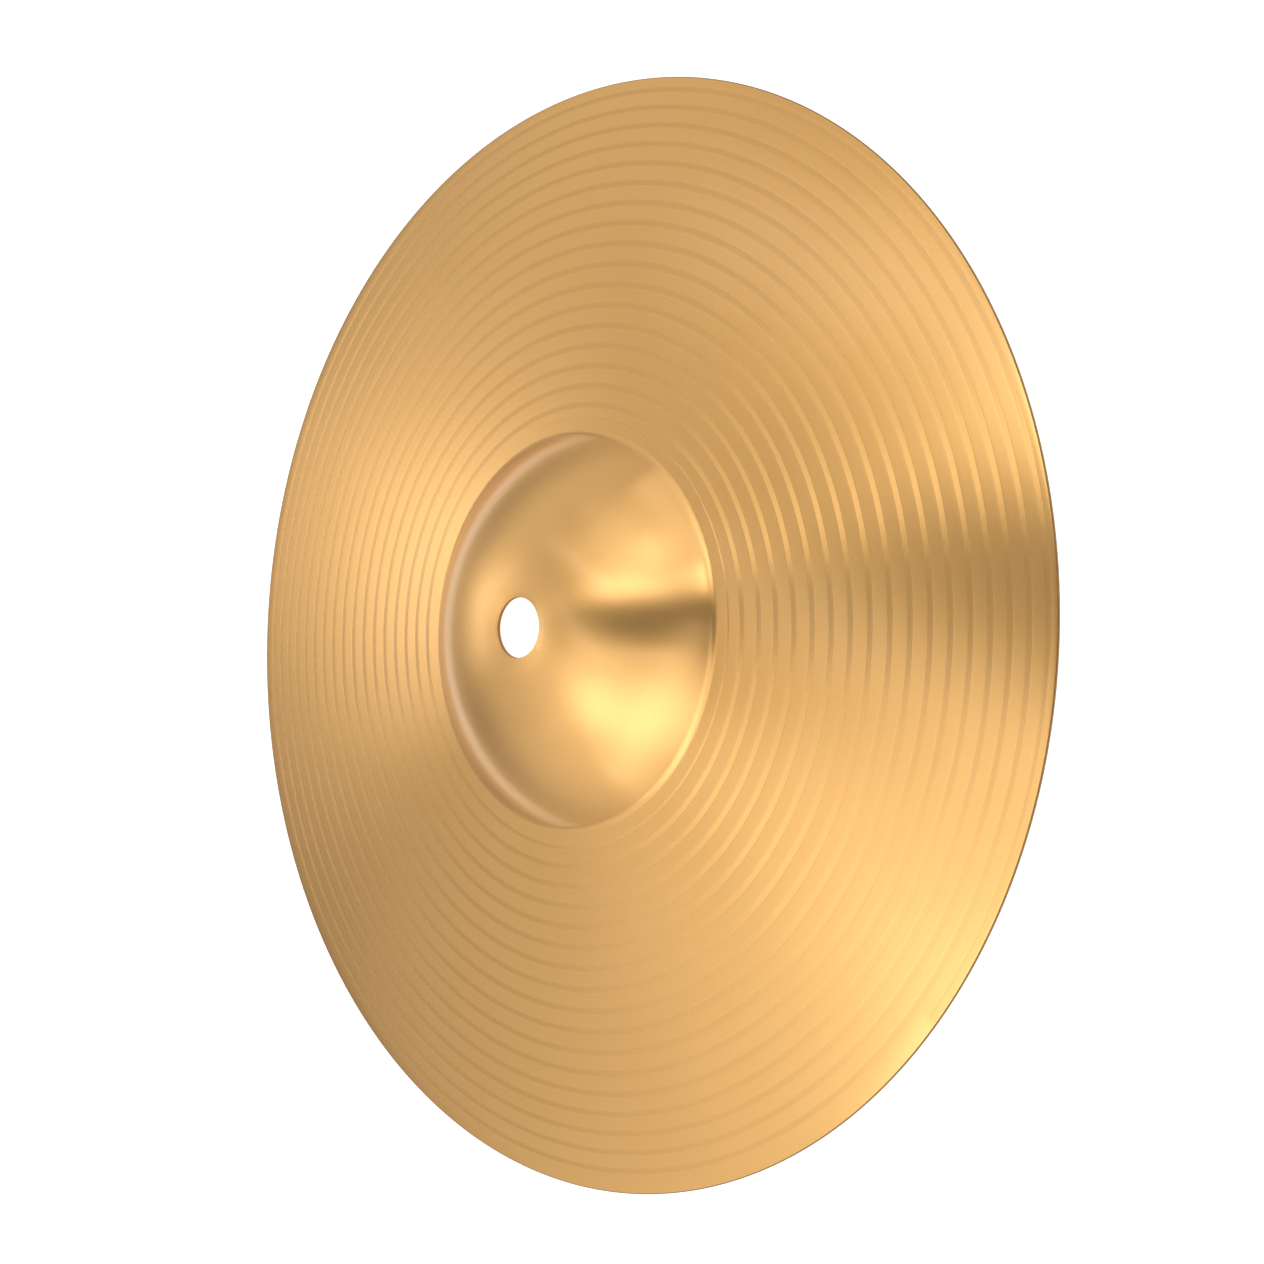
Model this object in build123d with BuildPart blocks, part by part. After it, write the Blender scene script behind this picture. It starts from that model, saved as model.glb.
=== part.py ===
from build123d import *
import os
from math import cos, radians, sin, sqrt

# A cymbal spun from one round sheet: a bell in the middle, a long shallow bow and a plain rim.
# The rim's lowest edge lies on z = 0, the axis is Z and the bell is up.

# Driving dimensions, in millimetres and degrees
cymbal_diameter = 254.0  # over the rim
sheet_thickness = 0.8
bow_radius = 885.0  # the bow's section is one long arc, which curves down towards the rim
rim_slope = 9.5  # fall of the bow where it ends at the rim
bell_diameter = 90.0  # where the dome would meet the bow without the fillet between them
foot_fillet_radius = 2.0  # small hollow fillet where the bell meets the bow
crown_height = 25.65  # top of the bell above the rim's upper edge
crown_land_diameter = 18.5  # flat ring round the hole, where a stand's felts bear
hole_diameter = 13.5
rim_edge_radius = 0.25
hole_edge_chamfer = 0.1

bell_radius = bell_diameter / 2
hole_radius = hole_diameter / 2
land_radius = crown_land_diameter / 2

# The rim's end face is square to the sheet, so its upper edge is the widest point and its lower
# edge the lowest. Rounding them loses a little of each, which is added here first.
slope = radians(rim_slope)
edge_loss = rim_edge_radius * (cos(slope) + sin(slope) - 1)
rim_radius = cymbal_diameter / 2 + edge_loss
rim_top = sheet_thickness * cos(slope) - edge_loss
crown_top = rim_top + crown_height

# The bow's arc is square to the rim's end face, so its centre lies on the line of that face.
bow_centre_x = rim_radius - bow_radius * sin(slope)
bow_centre_z = rim_top - bow_radius * cos(slope)
bow_height_at_bell = bow_centre_z + sqrt(bow_radius**2 - (bell_radius - bow_centre_x) ** 2)

with BuildPart() as cymbal:
    with BuildSketch(Plane.XZ) as section:
        with BuildLine() as upper_face:
            land = Line((hole_radius, crown_top), (land_radius, crown_top))
            dome = TangentArc(land @ 1, (bell_radius, bow_height_at_bell), tangent=land % 1)
            RadiusArc(dome @ 1, (rim_radius, rim_top), bow_radius)
            foot = upper_face.vertices().sort_by_distance(dome @ 1)[0]
            fillet(foot, radius=foot_fillet_radius)
            offset(amount=sheet_thickness, side=Side.RIGHT)
        make_face()
        rim_corners = section.vertices().sort_by(Axis.X)[-2:]
        fillet(rim_corners, radius=rim_edge_radius)
        hole_corners = section.vertices().sort_by(Axis.X)[:2]
        chamfer(hole_corners, length=hole_edge_chamfer)
    revolve(axis=Axis.Z)

os.makedirs("parts", exist_ok=True)
cymbal.part.label = "cymbal"
export_step(cymbal.part, "parts/cymbal.step")
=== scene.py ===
from math import cos, pi, radians, sin

import bpy
import numpy as np
from mathutils import Matrix, Vector


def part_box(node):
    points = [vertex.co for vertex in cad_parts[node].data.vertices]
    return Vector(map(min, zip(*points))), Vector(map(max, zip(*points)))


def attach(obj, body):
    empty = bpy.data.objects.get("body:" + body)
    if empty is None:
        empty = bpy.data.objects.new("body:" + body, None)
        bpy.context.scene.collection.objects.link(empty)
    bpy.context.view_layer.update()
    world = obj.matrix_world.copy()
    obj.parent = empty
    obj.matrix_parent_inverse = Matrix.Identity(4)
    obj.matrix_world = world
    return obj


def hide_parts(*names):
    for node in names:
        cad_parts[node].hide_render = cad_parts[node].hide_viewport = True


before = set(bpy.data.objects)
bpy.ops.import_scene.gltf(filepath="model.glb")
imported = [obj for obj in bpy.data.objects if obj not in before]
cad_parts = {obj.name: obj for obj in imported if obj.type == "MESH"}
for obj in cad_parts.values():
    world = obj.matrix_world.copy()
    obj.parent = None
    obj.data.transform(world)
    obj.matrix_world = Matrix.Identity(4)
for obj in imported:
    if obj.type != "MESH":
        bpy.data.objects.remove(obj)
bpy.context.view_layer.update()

# The cymbal's section, in millimetres. Its rim and crown come from the CAD node's box.
MM = 0.001
SHEET = 0.8
HOLE_RADIUS = 6.75
HOLE_EDGE = 0.1
LAND_RADIUS = 9.25
BELL_RADIUS = 45.0
FOOT_FILLET = 2.0
BOW_RADIUS = 885.0
RIM_SLOPE = radians(9.5)
RIM_EDGE = 0.25

low_corner, high_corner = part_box("cymbal")
EDGE_LOSS = RIM_EDGE * (cos(RIM_SLOPE) + sin(RIM_SLOPE) - 1)
RIM_RADIUS = high_corner.x / MM + EDGE_LOSS
RIM_TOP = low_corner.z / MM + SHEET * cos(RIM_SLOPE) - EDGE_LOSS
CROWN = high_corner.z / MM

# The tooled line is one spiral, and the upper face's mesh winds with it. The pairs are a turn of the
# lathe and the feed there, in millimetres for each turn. The feed is slow where the tool first
# touches by the bell, and eases off again at the rim. The turns before LINE_START have no line. They
# carry the mesh over the bell to the hole, and are closest together at the two ends of the dome.
FEED = (
    (-7.0, 1.7), (-6.0, 2.4), (-5.3, 9.75), (-2.6, 9.75), (-1.9, 2.8), (-0.6, 2.8), (-0.25, 1.6),
    (0.1, 1.8), (0.3, 4.6), (1.0, 4.4), (4.0, 4.65), (8.0, 4.78), (12.0, 4.57), (16.0, 4.09),
    (17.5, 3.85),
)
KNOWN_TURN, KNOWN_RADIUS = 8.0, 85.35
TABLE_STEPS = 4901
FIRST_TURN = -7.0
LINE_START = -0.3
LINE_END = 17.0
LINE_FADE_IN = 0.35
LINE_FADE_OUT = 0.04
SEAM_AZIMUTH = radians(-126.0)

# The line's depth in millimetres, and how far its floor and its shoulders reach to each side of its
# middle, as shares of a turn
LINE_DEPTH = 0.005
LINE_SHARE = 0.135
SHOULDER_SHARE = 0.17

# Mesh rows inside each turn, as shares of the turn, closest together where the line is
ROW_SHARES = (0.0, 0.065, 0.135, 0.17, 0.32, 0.5, 0.68, 0.83, 0.865, 0.935)
LAST_ROW_SHARE = 0.32
SEGMENTS = 288

# Points along the plain section at the rim, under the sheet and in the hole. The gaps, in
# millimetres, keep the points clear of the ends of the zone they belong to.
RIM_ROUND_POINTS, HOLE_ROUND_POINTS = 6, 4
BOW_POINTS, FILLET_POINTS, DOME_POINTS = 24, 8, 22
RIM_GAP, BOW_GAP, DOME_GAP, LAND_GAP = 1.0, 0.5, 0.8, 0.5
SLOPE_STEP = 0.001

# The material slots of the mesh
BELL, BOW, LINE, EDGE = range(4)


def circle_touching(centre_a, reach_a, centre_b, reach_b):
    """The outer of the two points at given distances from two centres, as (radius, height)."""
    a, b = Vector(centre_a), Vector(centre_b)
    gap = (b - a).length
    along = (gap**2 + reach_a**2 - reach_b**2) / (2 * gap)
    across = (reach_a**2 - along**2) ** 0.5
    direction = (b - a) / gap
    outward = Vector((-direction.y, direction.x))
    return tuple(a + direction * along + outward * across)


# The dome, the fillet at its foot and the bow are arcs, with centres given as (radius, height). The
# fillet touches the other two.
BOW_CENTRE = (RIM_RADIUS - BOW_RADIUS * sin(RIM_SLOPE), RIM_TOP - BOW_RADIUS * cos(RIM_SLOPE))
BELL_FOOT = BOW_CENTRE[1] + (BOW_RADIUS**2 - (BELL_RADIUS - BOW_CENTRE[0]) ** 2) ** 0.5
DOME_REACH = BELL_RADIUS - LAND_RADIUS
DOME_RISE = CROWN - BELL_FOOT
DOME_RADIUS = (DOME_REACH**2 + DOME_RISE**2) / (2 * DOME_RISE)
DOME_CENTRE = (LAND_RADIUS, CROWN - DOME_RADIUS)
FILLET_CENTRE = circle_touching(
    DOME_CENTRE, DOME_RADIUS + FOOT_FILLET, BOW_CENTRE, BOW_RADIUS + FOOT_FILLET
)
DOME_END = DOME_CENTRE[0] + (FILLET_CENTRE[0] - DOME_CENTRE[0]) * DOME_RADIUS / (
    DOME_RADIUS + FOOT_FILLET
)
BOW_START = BOW_CENTRE[0] + (FILLET_CENTRE[0] - BOW_CENTRE[0]) * BOW_RADIUS / (
    BOW_RADIUS + FOOT_FILLET
)


def height_on_circle(radius, centre, circle_radius, side):
    """Height of an arc of the section: its top half with side 1, its bottom half with side -1."""
    reach = np.clip(circle_radius**2 - (radius - centre[0]) ** 2, 0, None)
    return centre[1] + side * np.sqrt(reach)


def upper_height(radius):
    """Height of the cymbal's upper face, without the tooled line."""
    radius = np.asarray(radius, float)
    dome = height_on_circle(radius, DOME_CENTRE, DOME_RADIUS, 1)
    fillet = height_on_circle(radius, FILLET_CENTRE, FOOT_FILLET, -1)
    bow = height_on_circle(radius, BOW_CENTRE, BOW_RADIUS, 1)
    zones = [radius < LAND_RADIUS, radius < DOME_END, radius < BOW_START]
    return np.select(zones, [np.full(radius.shape, CROWN), dome, fillet], bow)


def spiral_table():
    """Turns from the middle of the winding to the rim, and the radius at each."""
    feed_turns, feeds = zip(*FEED)
    turns = np.linspace(FIRST_TURN, feed_turns[-1], TABLE_STEPS)
    feed = np.interp(turns, feed_turns, feeds)
    radius = np.concatenate([[0.0], np.cumsum((feed[1:] + feed[:-1]) / 2 * np.diff(turns))])
    return turns, radius + KNOWN_RADIUS - np.interp(KNOWN_TURN, turns, radius)


TURNS, TURN_RADII = spiral_table()


def spiral_radius(turn):
    return np.interp(turn, TURNS, TURN_RADII)


def smooth_step(x):
    x = np.clip(x, 0.0, 1.0)
    return x * x * (3 - 2 * x)


def line_depth(turn, share):
    """How far the tooled line is cut into the face at each vertex of the winding mesh. Its floor is
    flat, and a narrow shoulder each side brings it back up to the face."""
    offset = np.where(share > 0.5, share - 1, share)
    centre_turn = turn - offset
    across = (SHOULDER_SHARE - np.abs(offset)) / (SHOULDER_SHARE - LINE_SHARE)
    fade_in = smooth_step((centre_turn - LINE_START) / LINE_FADE_IN)
    fade_out = smooth_step((LINE_END - centre_turn) / LINE_FADE_OUT)
    return LINE_DEPTH * smooth_step(across) * fade_in * fade_out


def underside_section():
    """Section from the rim's upper edge round the rim, back under the sheet and up the hole."""
    outward = np.array([cos(RIM_SLOPE), -sin(RIM_SLOPE)])
    upward = np.array([sin(RIM_SLOPE), cos(RIM_SLOPE)])
    corner = np.array([RIM_RADIUS, RIM_TOP])
    upper_round = corner - RIM_EDGE * (outward + upward)
    lower_round = corner - SHEET * upward - RIM_EDGE * (outward - upward)
    quarter = np.linspace(0, pi / 2, RIM_ROUND_POINTS)
    points = [upper_round + RIM_EDGE * (cos(a) * upward + sin(a) * outward) for a in quarter]
    points += [lower_round + RIM_EDGE * (cos(a) * outward - sin(a) * upward) for a in quarter]

    radii = np.concatenate([
        np.linspace(RIM_RADIUS - RIM_GAP, BOW_START + BOW_GAP, BOW_POINTS),
        np.linspace(BOW_START, DOME_END, FILLET_POINTS),
        np.linspace(DOME_END - DOME_GAP, LAND_RADIUS + LAND_GAP, DOME_POINTS),
        [LAND_RADIUS, HOLE_RADIUS + 3 * HOLE_EDGE],
    ])
    rise = upper_height(radii + SLOPE_STEP) - upper_height(radii - SLOPE_STEP)
    slope = rise / (2 * SLOPE_STEP)
    length = np.sqrt(1 + slope**2)
    lower_radii = radii + SHEET * slope / length
    lower_heights = upper_height(radii) - SHEET / length
    points += list(np.stack([lower_radii, lower_heights], 1))

    quarter = np.linspace(0, pi / 2, HOLE_ROUND_POINTS)
    middle = HOLE_RADIUS + HOLE_EDGE
    bottom = CROWN - SHEET
    points += [
        np.array([middle - HOLE_EDGE * sin(a), bottom + HOLE_EDGE * (1 - cos(a))]) for a in quarter
    ]
    points += [
        np.array([middle - HOLE_EDGE * cos(a), CROWN - HOLE_EDGE * (1 - sin(a))]) for a in quarter
    ]
    return np.array(points)


def face_finish(turn, inner_share, outer_share):
    """Which finish a face of the upper side has, by its turn and its two rows' shares of a turn."""
    on_line = outer_share <= LINE_SHARE or inner_share >= 1 - LINE_SHARE
    if on_line and LINE_START < turn < LINE_END:
        return LINE
    return BELL if spiral_radius(turn) < BOW_START else BOW


def underside_finish(point, next_point):
    """Which finish a face of the plain rings has: the cut edges at the rim and in the hole aren't
    brushed."""
    middle_radius = (point[0] + next_point[0]) / 2
    at_rim = middle_radius > RIM_RADIUS - SHEET * sin(RIM_SLOPE) - RIM_EDGE
    in_hole = middle_radius < HOLE_RADIUS + HOLE_EDGE
    if at_rim or in_hole:
        return EDGE
    return BOW if middle_radius > BOW_START else BELL


def ring(radius, height):
    azimuth = SEAM_AZIMUTH + 2 * pi * np.arange(SEGMENTS) / SEGMENTS
    heights = np.full(SEGMENTS, height)
    return np.stack([radius * np.cos(azimuth), radius * np.sin(azimuth), heights], 1)


def cymbal_mesh():
    """The whole sheet as one closed mesh. The upper face's rows wind with the tooled line, so a row
    that ends a turn at the seam carries on as the next row. Plain rings close the other faces."""
    per_turn = len(ROW_SHARES)
    whole_turns = round(LINE_END - FIRST_TURN) - 1
    last_rows = ROW_SHARES[: ROW_SHARES.index(LAST_ROW_SHARE) + 1]
    row_turn = [FIRST_TURN + 1 + n + s for n in range(whole_turns) for s in ROW_SHARES]
    row_turn += [FIRST_TURN + 1 + whole_turns + s for s in last_rows]
    row_turn = np.array(row_turn)
    shares = np.array([ROW_SHARES[j % per_turn] for j in range(len(row_turn))])
    last = len(row_turn) - 1

    # The turn and share of every vertex, one column of rows for each segment. One more turn of rows
    # at the seam starts the winding.
    passed = np.arange(SEGMENTS) / SEGMENTS
    turn = row_turn[None, :] - passed[:, None]
    share = np.broadcast_to(shares, turn.shape)
    turn = np.concatenate([turn.ravel(), row_turn[:per_turn] - 1])
    share = np.concatenate([share.ravel(), shares[:per_turn]])
    azimuth = np.concatenate([
        np.repeat(SEAM_AZIMUTH + 2 * pi * passed, len(row_turn)), np.full(per_turn, SEAM_AZIMUTH)
    ])
    radius = spiral_radius(turn)
    height = upper_height(radius) - line_depth(turn, share)
    face = np.stack([radius * np.cos(azimuth), radius * np.sin(azimuth), height], 1)

    def wound(i, j):
        """The vertex of segment i in row j. Past the last segment a row is one turn further in."""
        if i < SEGMENTS:
            return i * (last + 1) + j
        if j < per_turn:
            return SEGMENTS * (last + 1) + j
        return j - per_turn

    section = underside_section()
    rings = [ring(r, z) for r, z in section]
    hole_ring = len(section) - 1

    def ringed(i, k):
        """The vertex of segment i in plain ring k."""
        return len(face) + k * SEGMENTS + i % SEGMENTS

    faces = []
    finishes = []
    for i in range(SEGMENTS):
        for j in range(last):
            faces.append((wound(i, j), wound(i, j + 1), wound(i + 1, j + 1), wound(i + 1, j)))
            turn_here = (row_turn[j] + row_turn[j + 1]) / 2 - passed[i]
            finishes.append(face_finish(turn_here, shares[j], shares[j + 1]))

    # Where the winding meets the plain rings, one face on each side of the seam has a corner at
    # every row that starts or ends there.
    for i in range(SEGMENTS):
        inner = [ringed(i, hole_ring), wound(i, 0), wound(i + 1, 0), ringed(i + 1, hole_ring)]
        outer = [wound(i, last), ringed(i, 0), ringed(i + 1, 0), wound(i + 1, last)]
        if i == 0:
            inner[1:1] = [wound(SEGMENTS, j) for j in range(per_turn)]
        if i == SEGMENTS - 1:
            outer[3:3] = [wound(0, j) for j in range(last, last - per_turn, -1)]
        faces += [inner, outer]
        finishes += [BELL, BOW]
        for k in range(hole_ring):
            faces.append((ringed(i, k), ringed(i, k + 1), ringed(i + 1, k + 1), ringed(i + 1, k)))
            finishes.append(underside_finish(section[k], section[k + 1]))

    mesh = bpy.data.meshes.new("cymbal_sheet")
    vertices = np.concatenate([face] + rings) * MM
    mesh.from_pydata(vertices.tolist(), [], faces)
    mesh.polygons.foreach_set("material_index", finishes)
    mesh.shade_smooth()
    return mesh


# Roughness and anisotropy of the brushed finishes, in the order of the mesh's slots
BRUSHED = {"bell_brass": (0.29, 0.80), "bow_brass": (0.26, 0.78), "line_brass": (0.31, 1.0)}
ACROSS_THE_BRUSHING = 0.25
DARK_BRASS = (0.92, 0.503, 0.157, 1)
LIGHT_BRASS = (0.98, 0.563, 0.195, 1)
ROUGHNESS_RANGE = 0.06
BRUSH_DEPTH = 0.0000003
COAT_WEIGHT = 0.4
COAT_ROUGHNESS = 0.12
COAT_IOR = 1.5

# Brush marks: how far apart they are in metres, how often they change along an arc, and their detail
FINE_MARKS = (0.0005, 5.0, 3.0)
BROAD_MARKS = (0.004, 1.5, 2.0)
MARK_CONTRAST = 0.6
CLOUD_SCALE, CLOUD_DETAIL = 30.0, 3.0

DARK_EDGE = (0.22, 0.12, 0.045, 1)
LIGHT_EDGE = (0.40, 0.23, 0.09, 1)
EDGE_ROUGHNESS, EDGE_ROUGHNESS_RANGE = 0.35, 0.2
GRAIN_SCALE, GRAIN_DETAIL = 900.0, 3.0


class Wiring:
    """Adds nodes to a material's tree and links them up."""

    def __init__(self, tree):
        self.nodes, self.links = tree.nodes, tree.links

    def node(self, kind, inputs=(), **settings):
        made = self.nodes.new("ShaderNode" + kind)
        for key, value in settings.items():
            setattr(made, key, value)
        for socket, value in dict(inputs).items():
            if isinstance(value, bpy.types.NodeSocket):
                self.links.new(value, made.inputs[socket])
            else:
                made.inputs[socket].default_value = value
        return made

    def math(self, operation, *values, clamp=False):
        inputs = dict(enumerate(values))
        return self.node("Math", inputs, operation=operation, use_clamp=clamp).outputs[0]

    def vector(self, operation, *values):
        return self.node("VectorMath", dict(enumerate(values)), operation=operation).outputs[0]

    def noise(self, place, scale, detail, **more):
        inputs = {"Vector": place, "Scale": scale, "Detail": detail, **more}
        return self.node("TexNoise", inputs).outputs["Fac"]

    def blend(self, share, start, end):
        """A colour between two, by a share from 0 to 1."""
        inputs = {"Factor": share, "A": start, "B": end}
        return self.node("Mix", inputs, data_type="RGBA").outputs["Result"]


def brush_marks(wiring, place, period, arc_scale, detail):
    """Noise in long arcs round the axis, from 0 to 1. The direction from the axis changes the place
    it is read at slowly, and the radius fast, so it has no seam."""
    x_y_z = wiring.node("SeparateXYZ", {0: place})
    flat = wiring.node("CombineXYZ", {0: x_y_z.outputs[0], 1: x_y_z.outputs[1]}).outputs[0]
    radius = wiring.node("VectorMath", {0: flat}, operation="LENGTH").outputs["Value"]
    direction = wiring.vector("NORMALIZE", flat)
    along = wiring.node("VectorMath", {0: direction, "Scale": arc_scale}, operation="SCALE")
    lift = wiring.math("MULTIPLY", radius, 1 / period)
    outward = wiring.node("CombineXYZ", {2: lift}).outputs[0]
    wound = wiring.vector("ADD", along.outputs[0], outward)
    return wiring.noise(wound, 1.0, detail, Roughness=MARK_CONTRAST)


def metal(name):
    """A new metallic material, with its wiring, its shader and the place on the object."""
    material = bpy.data.materials.new(name)
    material.use_nodes = True
    wiring = Wiring(material.node_tree)
    shader = material.node_tree.nodes["Principled BSDF"]
    shader.inputs["Metallic"].default_value = 1.0
    return material, wiring, shader, wiring.node("TexCoord").outputs["Object"]


def satin_brass(name, roughness, anisotropy):
    """Brass brushed in circles round the cymbal's axis, under a thin clear lacquer."""
    material, wiring, shader, place = metal(name)
    shader.inputs["Anisotropic"].default_value = anisotropy
    shader.inputs["Anisotropic Rotation"].default_value = ACROSS_THE_BRUSHING
    shader.inputs["Coat Weight"].default_value = COAT_WEIGHT
    shader.inputs["Coat Roughness"].default_value = COAT_ROUGHNESS
    shader.inputs["Coat IOR"].default_value = COAT_IOR
    tangent = wiring.node("Tangent", direction_type="RADIAL", axis="Z")
    wiring.links.new(tangent.outputs["Tangent"], shader.inputs["Tangent"])

    fine = brush_marks(wiring, place, *FINE_MARKS)
    broad = brush_marks(wiring, place, *BROAD_MARKS)
    cloud = wiring.noise(place, CLOUD_SCALE, CLOUD_DETAIL)
    half_cloud = wiring.math("MULTIPLY", cloud, 0.5)

    tone = wiring.math("MULTIPLY_ADD", broad, 0.5, half_cloud)
    colour = wiring.blend(tone, DARK_BRASS, LIGHT_BRASS)
    wiring.links.new(colour, shader.inputs["Base Color"])

    spread = wiring.math("MULTIPLY_ADD", fine, 0.5, half_cloud)
    lowest = roughness - ROUGHNESS_RANGE / 2
    varied = wiring.math("MULTIPLY_ADD", spread, ROUGHNESS_RANGE, lowest)
    wiring.links.new(varied, shader.inputs["Roughness"])

    bump = wiring.node("Bump", {"Strength": 1.0, "Distance": BRUSH_DEPTH, "Height": fine})
    wiring.links.new(bump.outputs["Normal"], shader.inputs["Normal"])
    return material


def cut_brass(name):
    """The cut edges at the rim and in the hole: darker than the faces, and not brushed."""
    material, wiring, shader, place = metal(name)
    grain = wiring.noise(place, GRAIN_SCALE, GRAIN_DETAIL)
    colour = wiring.blend(grain, DARK_EDGE, LIGHT_EDGE)
    wiring.links.new(colour, shader.inputs["Base Color"])
    varied = wiring.math("MULTIPLY_ADD", grain, EDGE_ROUGHNESS_RANGE, EDGE_ROUGHNESS)
    wiring.links.new(varied, shader.inputs["Roughness"])
    return material


cymbal = bpy.data.objects.new("cymbal_sheet", cymbal_mesh())
bpy.context.scene.collection.objects.link(cymbal)
for finish, (finish_roughness, finish_anisotropy) in BRUSHED.items():
    cymbal.data.materials.append(satin_brass(finish, finish_roughness, finish_anisotropy))
cymbal.data.materials.append(cut_brass("edge_brass"))
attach(cymbal, "root")
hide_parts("cymbal")

# Camera: 45 degrees off the cymbal's axis, with +X up in the picture apart from a small roll. It
# looks past the axis at the height of the rim, to one side by AIM_OFFSET. The distance and the
# offset are in metres, the lens and the sensor in millimetres.
CAMERA_TILT = radians(45.0)
CAMERA_ROLL = radians(3.18)
CAMERA_DISTANCE = 0.5715
LENS = 70.8
SENSOR_WIDTH = 36.0
AIM_OFFSET = 0.00723


def add_camera():
    toward = Vector((0, -sin(CAMERA_TILT), cos(CAMERA_TILT)))
    up = Vector((1, 0, 0))
    right = up.cross(toward)
    upright = Matrix((right, up, toward)).transposed()
    turned = upright @ Matrix.Rotation(CAMERA_ROLL, 3, "Z")
    data = bpy.data.cameras.new("camera")
    data.lens = LENS
    data.sensor_width = SENSOR_WIDTH
    camera = bpy.data.objects.new("camera", data)
    aim = Vector((0, 0, RIM_TOP * MM)) + turned.col[0] * AIM_OFFSET
    camera.matrix_world = Matrix.Translation(aim + toward * CAMERA_DISTANCE) @ turned.to_4x4()
    bpy.context.scene.collection.objects.link(camera)
    bpy.context.scene.camera = camera


add_camera()

# Soft boxes: azimuth, elevation and roll in degrees, half height and half width as shares of
# LIGHT_DISTANCE (metres), the radiance at the middle, and how it fades out towards its sides.
# These rows weren't chosen by hand: a scratch program fitted them to the photo's brightness and
# wrote them here. This is an open failure.
LIGHT_DISTANCE = 4.0
SOFT, SHARP = 2.0, 8.0
SOFT_BOXES = {
    "top": (171, 40, -12, 0.85, 1.55, 0.72, SOFT),
    "back": (87, 34, -73, 0.14, 0.18, 1.66, SOFT),
    "side": (49, 30, 12, 0.37, 1.53, 0.57, SOFT),
    "strip_a": (344, 72, 24, 0.10, 0.50, 2.06, SOFT),
    "key": (218, 54, -53, 0.46, 1.59, 0.79, SOFT),
    "strip_b": (89, 64, 69, 0.05, 0.36, 1.43, SOFT),
    "strip_c": (48, 63, 26, 0.43, 0.07, 2.18, SOFT),
    "front": (357, 56, -12, 0.30, 0.63, 1.10, SOFT),
    "key_strip": (216, 53, 16, 0.15, 0.94, 0.87, SHARP),
    "overhead": (177, 82, 3, 0.06, 0.88, 0.48, SHARP),
    "low": (332, 31, 0, 0.18, 0.66, 1.13, SHARP),
    "key_core": (152, 64, 45, 0.18, 0.16, 0.83, SHARP),
    "low_spot": (302, 31, -11, 0.20, 0.12, 2.46, SHARP),
    "faint": (117, 49, 11, 0.10, 0.27, 0.19, SHARP),
    "bell_spot": (337, 53, -9, 0.09, 0.15, 1.20, SHARP),
}
WORLD_LEVEL = 0.15
FLOOR_SHADE = 0.35
FLOOR_ROUGHNESS = 0.9
FLOOR_GLOW = 1.0
FLOOR_REACH = 60.0


def add_soft_box(name, azimuth, elevation, roll, half_height, half_width, radiance, fade):
    data = bpy.data.lights.new(name, "AREA")
    data.shape = "RECTANGLE"
    data.size = 2 * half_width * LIGHT_DISTANCE
    data.size_y = 2 * half_height * LIGHT_DISTANCE
    data.energy = radiance * pi * data.size * data.size_y
    data.use_nodes = True

    # From the middle to each side the light falls off as 1 - x ** fade, across and up
    wiring = Wiring(data.node_tree)
    place = wiring.node("NewGeometry").outputs["Parametric"]
    from_middle = wiring.vector("MULTIPLY_ADD", place, (2, 2, 0), (-1, -1, 0))
    across, up, _ = wiring.node("SeparateXYZ", {0: from_middle}).outputs
    left = []
    for share in (across, up):
        lost = wiring.math("POWER", wiring.math("ABSOLUTE", share), fade)
        left.append(wiring.math("SUBTRACT", 1.0, lost, clamp=True))
    strength = data.node_tree.nodes["Emission"].inputs["Strength"]
    wiring.links.new(wiring.math("MULTIPLY", *left), strength)

    light = bpy.data.objects.new(name, data)
    a, e = radians(azimuth), radians(elevation)
    out = Vector((cos(e) * cos(a), cos(e) * sin(a), sin(e)))
    side = Vector((-sin(a), cos(a), 0))
    upright = Matrix((side, out.cross(side), out)).transposed()
    facing = upright @ Matrix.Rotation(radians(roll), 3, "Z")
    light.matrix_world = Matrix.Translation(out * LIGHT_DISTANCE) @ facing.to_4x4()
    bpy.context.scene.collection.objects.link(light)


def add_floor():
    """A pale floor that glows, so that it comes out white like the photo's background."""
    mesh = bpy.data.meshes.new("floor")
    reach = FLOOR_REACH
    corners = [(-reach, -reach, 0), (reach, -reach, 0), (reach, reach, 0), (-reach, reach, 0)]
    mesh.from_pydata(corners, [], [(0, 1, 2, 3)])
    floor = bpy.data.objects.new("floor", mesh)
    bpy.context.scene.collection.objects.link(floor)
    pale = bpy.data.materials.new("pale_floor")
    pale.use_nodes = True
    shader = pale.node_tree.nodes["Principled BSDF"]
    shader.inputs["Base Color"].default_value = (FLOOR_SHADE, FLOOR_SHADE, FLOOR_SHADE, 1)
    shader.inputs["Roughness"].default_value = FLOOR_ROUGHNESS
    shader.inputs["Emission Color"].default_value = (1, 1, 1, 1)
    shader.inputs["Emission Strength"].default_value = FLOOR_GLOW
    mesh.materials.append(pale)


def add_world():
    world = bpy.data.worlds.new("studio")
    bpy.context.scene.world = world
    world.use_nodes = True
    background = world.node_tree.nodes["Background"]
    background.inputs["Color"].default_value = (WORLD_LEVEL, WORLD_LEVEL, WORLD_LEVEL, 1)
    bpy.context.scene.view_settings.view_transform = "Standard"


for box_name, box_values in SOFT_BOXES.items():
    add_soft_box(box_name, *box_values)
add_floor()
add_world()
